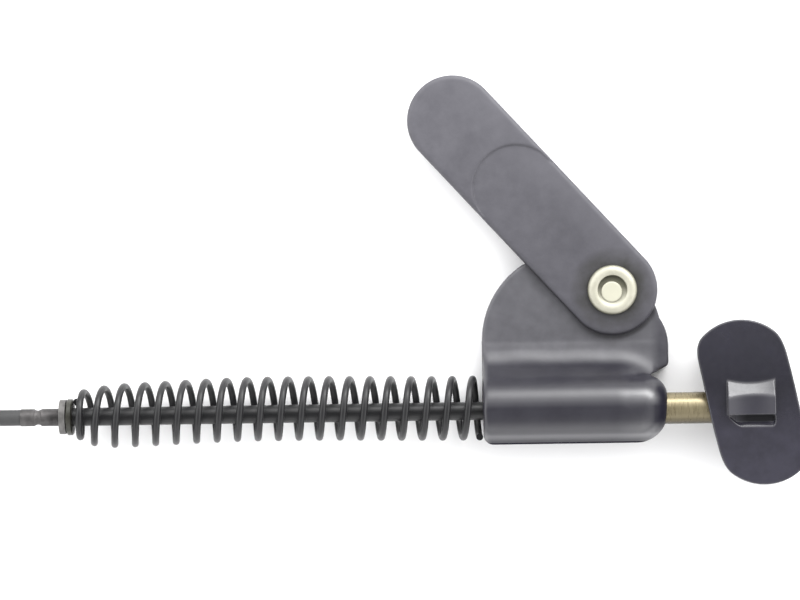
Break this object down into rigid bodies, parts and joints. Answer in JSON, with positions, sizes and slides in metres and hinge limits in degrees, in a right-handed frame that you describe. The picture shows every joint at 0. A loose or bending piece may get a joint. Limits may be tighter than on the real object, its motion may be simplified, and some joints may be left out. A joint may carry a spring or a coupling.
{
  "type": "cable release",
  "caption": "Sprung pull release: a finger tab on a brass rod draws a cable through a barrel against an open coil spring, and a swing lever on a half-round fin works a lock.",
  "frame": {"origin": "centre of the fin's round edge, on the flat back that the part lies on", "axes": "+X along the barrel towards the finger tab, +Y from the barrel towards the fin and lever, +Z out of the lever's face"},
  "size_m": [0.1451, 0.059, 0.0097],
  "materials": {
    "satin_black": "satin moulded black",
    "lever_black": "matt moulded black",
    "tab_black": "half-gloss moulded black",
    "tie_black": "matt black",
    "pale_brass": "pale plated brass",
    "brass": "turned brass",
    "steel": "plain steel",
    "dull_steel": "dulled steel",
    "blackened_wire": "blackened steel",
    "buffer_rubber": "matt",
    "cable_jacket": "matt dark grey jacket"
  },
  "bodies": {
    "body": {"housing": "satin_black", "rear_cover": "satin_black", "cover_screws": "steel", "rear_plug": "steel", "nose_buffer": "buffer_rubber", "pivot_rivet": "pale_brass", "lever_washer": "steel", "return_spring": "blackened_wire"},
    "plunger": {"pull_rod": "brass", "piston": "brass", "piston_pin": "steel", "core_rod": "blackened_wire", "spring_seat": "dull_steel", "seat_clip": "dull_steel", "crimp_sleeve": "dull_steel", "cable_lead": "cable_jacket", "cable_coil": "cable_jacket", "coil_tie": "tie_black", "cable_tail": "cable_jacket", "cable_nipple": "brass"},
    "swing_lever": {"lever": "lever_black", "lock_pawl": "steel", "drive_pin": "steel"},
    "tab": {"finger_tab": "tab_black", "tab_pin": "blackened_wire"}
  },
  "joints": [
    {"name": "plunger_slide", "type": "slide", "parent": "body", "child": "plunger", "axis": [1, 0, 0], "range_m": [0, 0.012], "stiffness_N_per_m": 830, "springref_m": -0.005, "deforming": ["return_spring"]},
    {"name": "lever_swing", "type": "hinge", "parent": "body", "child": "swing_lever", "pos_m": [0.0058, 0.0071, 0.005], "axis": [0, 0, 1], "range_deg": [-42, 47]},
    {"name": "tab_rock", "type": "hinge", "parent": "plunger", "child": "tab", "pos_m": [0.0254, -0.0099, 0.00485], "axis": [0, 0, 1], "range_deg": [-14, 14]}
  ]
}
